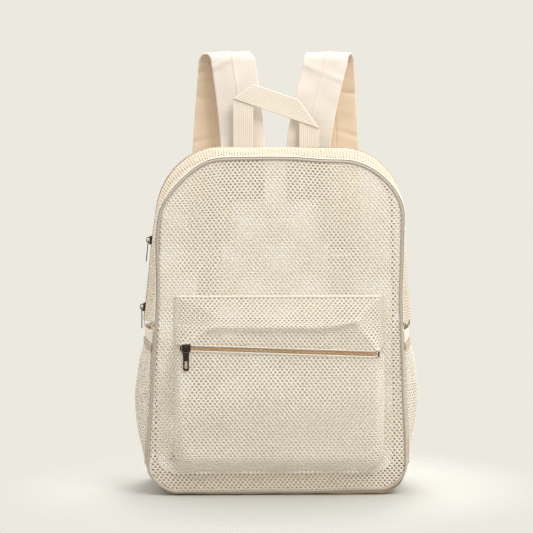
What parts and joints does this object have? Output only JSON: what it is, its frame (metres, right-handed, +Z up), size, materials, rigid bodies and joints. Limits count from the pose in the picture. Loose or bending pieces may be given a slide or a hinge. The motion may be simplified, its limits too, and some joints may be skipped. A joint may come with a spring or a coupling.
{
  "type": "mesh backpack",
  "caption": "See-through mesh beach backpack with an arched two-way zip, zipped front pocket, open side pockets, webbing grab handle and looped shoulder straps.",
  "frame": {"origin": "middle of the flat underside, halfway between the front and back panels", "axes": "+Z up, -Y out of the front panel with the zipped pocket, +X to the right as the front is seen"},
  "size_m": [0.3466, 0.2023, 0.5399],
  "materials": {
    "mesh_fabric": "matt knitted mesh, ivory, see-through",
    "base_fabric": "matt woven, tan",
    "zip_tape": "matt woven tape, light tan",
    "zip_coil": "satin nylon, tan brown",
    "satin_piping": "satin, taupe grey",
    "binding_tape": "satin tape, grey green",
    "ribbed_elastic": "ribbed elastic, tan",
    "gunmetal": "gunmetal plating, glossy",
    "webbing": "ribbed webbing, ivory",
    "strap_fabric": "matt woven, ivory",
    "acetal": "moulded, beige"
  },
  "bodies": {
    "root": {"front_panel": "mesh_fabric", "back_panel": "mesh_fabric", "left_side_panel": "mesh_fabric", "right_side_panel": "mesh_fabric", "front_gusset_strip": "mesh_fabric", "rear_gusset_strip": "mesh_fabric", "left_pocket_mesh": "mesh_fabric", "right_pocket_mesh": "mesh_fabric", "front_pocket_upper_panel": "mesh_fabric", "front_pocket_lower_panel": "mesh_fabric", "bottom_panel": "base_fabric", "main_zip_front_tape": "zip_tape", "main_zip_rear_tape": "zip_tape", "left_zip_end_tab": "zip_tape", "right_zip_end_tab": "zip_tape", "front_pocket_zip_upper_tape": "zip_tape", "front_pocket_zip_lower_tape": "zip_tape", "main_zip_front_coil": "zip_coil", "main_zip_rear_coil": "zip_coil", "front_pocket_zip_upper_coil": "zip_coil", "front_pocket_zip_lower_coil": "zip_coil", "front_piping": "satin_piping", "rear_piping": "satin_piping", "left_pocket_binding": "binding_tape", "right_pocket_binding": "binding_tape", "left_pocket_elastic": "ribbed_elastic", "right_pocket_elastic": "ribbed_elastic", "front_pocket_zip_left_stop": "gunmetal", "front_pocket_zip_right_stop": "gunmetal", "left_strap_anchor": "strap_fabric", "right_strap_anchor": "strap_fabric", "left_lower_tab": "strap_fabric", "right_lower_tab": "strap_fabric"},
    "pocket_slider": {"pocket_slider": "gunmetal"},
    "pocket_pull": {"pocket_pull": "gunmetal"},
    "upper_main_slider": {"upper_main_slider": "gunmetal"},
    "upper_main_pull": {"upper_main_pull": "gunmetal"},
    "lower_main_slider": {"lower_main_slider": "gunmetal"},
    "lower_main_pull": {"lower_main_pull": "gunmetal"},
    "grab_handle": {"grab_handle": "webbing"},
    "left_strap": {"left_shoulder_strap": "strap_fabric", "left_lock_tab": "webbing", "left_ladder_lock": "acetal", "left_adjuster_webbing": "webbing"},
    "right_strap": {"right_shoulder_strap": "strap_fabric", "right_lock_tab": "webbing", "right_ladder_lock": "acetal", "right_adjuster_webbing": "webbing"}
  },
  "joints": [
    {"name": "pocket_slider_slide", "type": "slide", "parent": "root", "child": "pocket_slider", "axis": [0.9994, 0, -0.0349], "range_m": [0, 0.221]},
    {"name": "pocket_pull_swing", "type": "hinge", "parent": "pocket_slider", "child": "pocket_pull", "pos_m": [-0.111, -0.0953, 0.18038], "axis": [-1, 0, 0], "range_deg": [0, 165]},
    {"name": "upper_main_slider_slide", "type": "slide", "parent": "root", "child": "upper_main_slider", "axis": [0.0995, 0, 0.995], "range_m": [-0.015, 0.022]},
    {"name": "upper_main_pull_swing", "type": "hinge", "parent": "upper_main_slider", "child": "upper_main_pull", "pos_m": [-0.15808, 0, 0.30443], "axis": [0, 1, 0], "range_deg": [0, 150]},
    {"name": "lower_main_slider_slide", "type": "slide", "parent": "root", "child": "lower_main_slider", "axis": [0.0995, 0, 0.995], "range_m": [-0.008, 0.009]},
    {"name": "lower_main_pull_swing", "type": "hinge", "parent": "lower_main_slider", "child": "lower_main_pull", "pos_m": [-0.16628, 0, 0.22243], "axis": [0, 1, 0], "range_deg": [0, 150]},
    {"name": "grab_handle_lean", "type": "hinge", "parent": "root", "child": "grab_handle", "pos_m": [0, 0.0576, 0.4102], "axis": [1, 0, 0], "range_deg": [0, 70]},
    {"name": "left_strap_swing", "type": "hinge", "parent": "root", "child": "left_strap", "pos_m": [-0.041, 0.0695, 0.4135], "axis": [0.1592, -0.0047, 0.9872], "range_deg": [-20, 20]},
    {"name": "right_strap_swing", "type": "hinge", "parent": "root", "child": "right_strap", "pos_m": [0.041, 0.0695, 0.4135], "axis": [0.1592, 0.0047, -0.9872], "range_deg": [-20, 20]}
  ]
}
